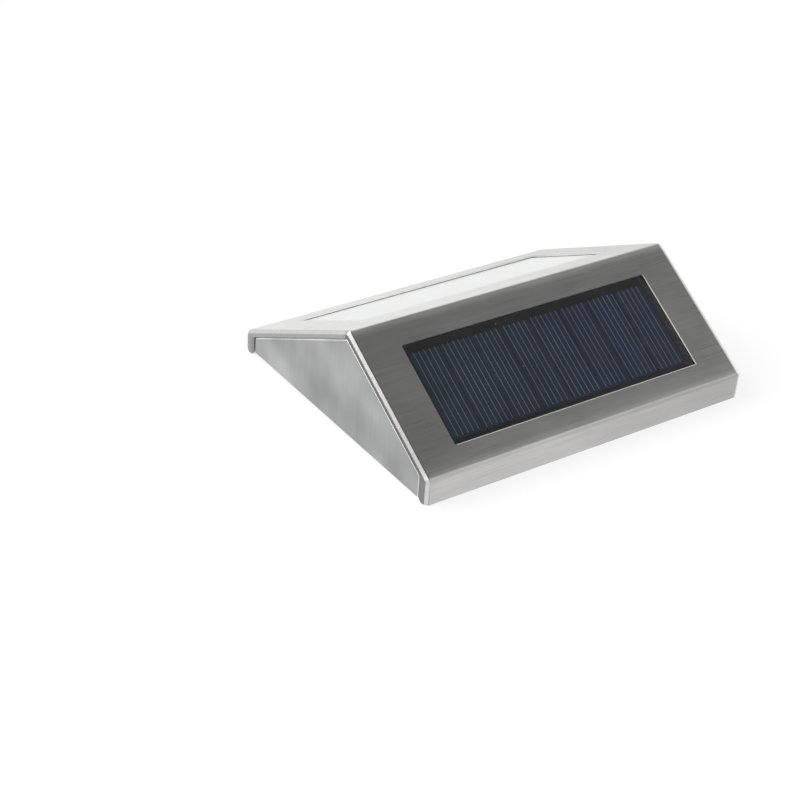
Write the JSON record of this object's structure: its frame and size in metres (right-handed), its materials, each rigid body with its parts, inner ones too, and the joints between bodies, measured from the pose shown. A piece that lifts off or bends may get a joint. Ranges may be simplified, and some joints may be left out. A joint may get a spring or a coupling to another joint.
{
  "type": "fence light",
  "caption": "Solar fence light with a folded steel roof-shaped cover, solar panel on one slope, frosted lamp window on the other, keyholed back, battery door and slide switch.",
  "frame": {"origin": "middle of the bounding box's bottom face, on the table that the light lies on and in the plane of the fence that it hangs on", "axes": "+X along the ridge, +Z out of the back towards the ridge, -Y towards the solar slope, which faces up on a fence, and +Y towards the lamp slope"},
  "size_m": [0.126, 0.104, 0.0362],
  "materials": {
    "steel": "brushed along the ridge, satin",
    "plate_steel": "plain cold-rolled sheet, soft satin",
    "screw_steel": "bright zinc plating",
    "spring_steel": "nickel plating",
    "tin": "tinned copper and solder",
    "case_plastic": "moulded, fine spark texture",
    "white_plastic": "moulded, smooth and reflecting",
    "lens_plastic": "milky frosted diffuser",
    "knob_plastic": "moulded, plain",
    "rubber": "soft foam and rubber",
    "tape": "foam tape",
    "silicon": "polycrystalline silicon, dark blue",
    "resin": "clear poured resin",
    "panel_laminate": "black panel board",
    "board_green": "solder mask on glass laminate",
    "phenolic": "brown wafer",
    "led_body": "clear resin over a yellow phosphor",
    "chip_black": "moulded epoxy",
    "choke_green": "dipped lacquer",
    "capacitor_sleeve": "shrunk sleeve",
    "battery_sleeve": "shrunk sleeve",
    "red_wire": "soft insulation",
    "black_wire": "soft insulation",
    "white_wire": "soft insulation"
  },
  "bodies": {
    "light": {"cover": "steel", "side_plate_left": "plate_steel", "side_plate_right": "plate_steel", "housing": "case_plastic", "back_plate": "case_plastic", "back_seal": "rubber", "back_screws": "screw_steel", "panel_tape": "tape", "panel_board": "panel_laminate", "solar_cells": "silicon", "panel_resin": "resin", "panel_tabs": "tin", "lens_tape": "tape", "lens": "lens_plastic", "reflector": "white_plastic", "led_board": "board_green", "led_left": "led_body", "led_middle": "led_body", "led_right": "led_body", "led_resistors": "chip_black", "control_board": "board_green", "driver_chip": "chip_black", "choke": "choke_green", "capacitor": "capacitor_sleeve", "board_screws": "screw_steel", "switch_frame": "tin", "switch_wafer": "phenolic", "switch_pins": "tin", "battery_case": "case_plastic", "battery_front": "battery_sleeve", "battery_rear": "battery_sleeve", "contact_strap": "spring_steel", "contact_plus": "spring_steel", "contact_minus": "spring_steel", "spring_left": "spring_steel", "spring_right": "spring_steel", "panel_wire_red": "red_wire", "panel_wire_black": "black_wire", "battery_wire_red": "red_wire", "battery_wire_black": "black_wire", "lamp_wire_white": "white_wire", "lamp_wire_black": "black_wire"},
    "switch_knob": {"switch_knob": "knob_plastic"},
    "door": {"battery_door": "case_plastic", "door_seal": "rubber"}
  },
  "joints": [
    {"name": "switch_slide", "type": "slide", "parent": "light", "child": "switch_knob", "axis": [1, 0, 0], "range_m": [0, 0.002]},
    {"name": "door_hinge", "type": "hinge", "parent": "light", "child": "door", "pos_m": [0, -0.02077, 0.00165], "axis": [-1, 0, 0], "range_deg": [0, 100]}
  ]
}
